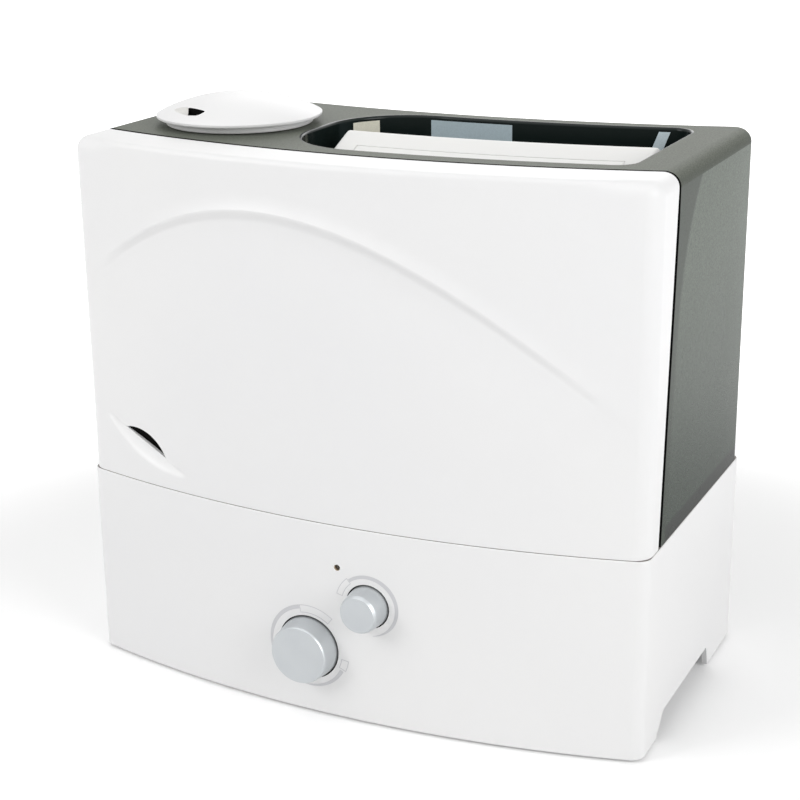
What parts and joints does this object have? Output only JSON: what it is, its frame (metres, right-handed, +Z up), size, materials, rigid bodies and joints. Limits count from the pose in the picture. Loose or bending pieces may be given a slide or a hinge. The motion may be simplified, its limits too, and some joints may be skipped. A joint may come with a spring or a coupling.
{
  "type": "cool_mist_humidifier",
  "caption": "Cool mist humidifier: white curved base with two silver dials, smoked lift-off water tank with a white front panel, fold-up handle and swivelling mist nozzle.",
  "frame": {"origin": "bottom centre of the whole object's box, knobs included, on the surface it stands on", "axes": "+X to the right seen from the front, +Y towards the back, +Z up; the front with the dials faces -Y"},
  "size_m": [0.34, 0.2082, 0.3284],
  "materials": {
    "white_plastic": "smooth satin-gloss injection-moulded plastic",
    "grey_plastic": "fine matte inner mouldings",
    "smoked_plastic": "translucent smoked grey-green, polished",
    "satin_silver": "satin metallised plastic with a bright chamfer",
    "black_plastic": "matte black",
    "rubber": "soft matte rubber",
    "steel": "zinc-plated or stainless steel",
    "board": "green lacquered circuit board with black parts",
    "transformer_core": "varnished steel laminations and copper winding",
    "lamp_lens": "clear diffusing lens"
  },
  "bodies": {
    "base": {"base_housing": "white_plastic", "bottom_plate": "grey_plastic", "rubber_foot_1": "rubber", "rubber_foot_2": "rubber", "rubber_foot_3": "rubber", "rubber_foot_4": "rubber", "base_screw_1": "steel", "base_screw_2": "steel", "base_screw_3": "steel", "base_screw_4": "steel", "water_tray": "grey_plastic", "chamber_cup": "grey_plastic", "transducer_gasket": "rubber", "transducer_disc": "steel", "transducer_clamp": "steel", "clamp_screw_1": "steel", "clamp_screw_2": "steel", "air_duct": "grey_plastic", "fan_frame": "black_plastic", "circuit_board": "board", "heat_sink": "steel", "transformer": "transformer_core", "power_inlet": "black_plastic", "mist_control": "black_plastic", "humidity_control": "black_plastic", "indicator_light": "lamp_lens", "float_cap": "grey_plastic"},
    "mist_dial": {"mist_knob": "satin_silver", "mist_knob_shaft": "steel"},
    "humidity_dial": {"humidity_knob": "satin_silver", "humidity_knob_shaft": "steel"},
    "fan_rotor": {"fan_impeller": "black_plastic"},
    "float": {"level_float": "white_plastic"},
    "tank": {"tank_shell": "smoked_plastic", "tank_floor": "smoked_plastic", "front_panel": "white_plastic", "mist_chimney": "smoked_plastic", "handle_pin_left": "steel", "handle_pin_right": "steel"},
    "filler_cap": {"tank_cap": "white_plastic", "cap_seal": "rubber", "valve_spring": "steel"},
    "valve": {"valve_plunger": "white_plastic", "valve_seal": "rubber"},
    "handle": {"handle_grip": "white_plastic", "handle_cover": "white_plastic"},
    "nozzle_base": {"nozzle_collar": "white_plastic"},
    "nozzle": {"nozzle_cap": "white_plastic"}
  },
  "joints": [
    {"name": "mist_dial_turn", "type": "hinge", "parent": "base", "child": "mist_dial", "pos_m": [-0.0164, -0.09165, 0.0406], "axis": [0, -1, 0], "range_deg": [-270, 0]},
    {"name": "humidity_dial_turn", "type": "hinge", "parent": "base", "child": "humidity_dial", "pos_m": [0.0205, -0.09153, 0.0719], "axis": [0, -1, 0], "range_deg": [-270, 0]},
    {"name": "fan_spin", "type": "hinge", "parent": "base", "child": "fan_rotor", "pos_m": [-0.105, 0.0506, 0.026], "axis": [0, 0, 1], "continuous": true},
    {"name": "float_rise", "type": "slide", "parent": "base", "child": "float", "axis": [0, 0, 1], "range_m": [0, 0.0095]},
    {"name": "tank_lift", "type": "slide", "parent": "base", "child": "tank", "axis": [0, 0, 1], "range_m": [0, 0.08]},
    {"name": "filler_cap_turn", "type": "hinge", "parent": "tank", "child": "filler_cap", "pos_m": [0.04, -0.00263, 0.106], "axis": [0, 0, 1], "range_deg": [0, 300]},
    {"name": "valve_open", "type": "slide", "parent": "filler_cap", "child": "valve", "axis": [0, 0, 1], "range_m": [0, 0.0035], "stiffness_N_per_m": 60, "springref_m": -0.006, "deforming": ["valve_spring"]},
    {"name": "handle_fold", "type": "hinge", "parent": "tank", "child": "handle", "pos_m": [0.0515, -0.02585, 0.284], "axis": [1, 0, 0], "range_deg": [0, 64]},
    {"name": "nozzle_lift", "type": "slide", "parent": "tank", "child": "nozzle_base", "axis": [0, 0, 1], "range_m": [0, 0.04]},
    {"name": "nozzle_turn", "type": "hinge", "parent": "nozzle_base", "child": "nozzle", "pos_m": [-0.105, 0.0046, 0.3152], "axis": [0, 0, 1], "continuous": true}
  ]
}
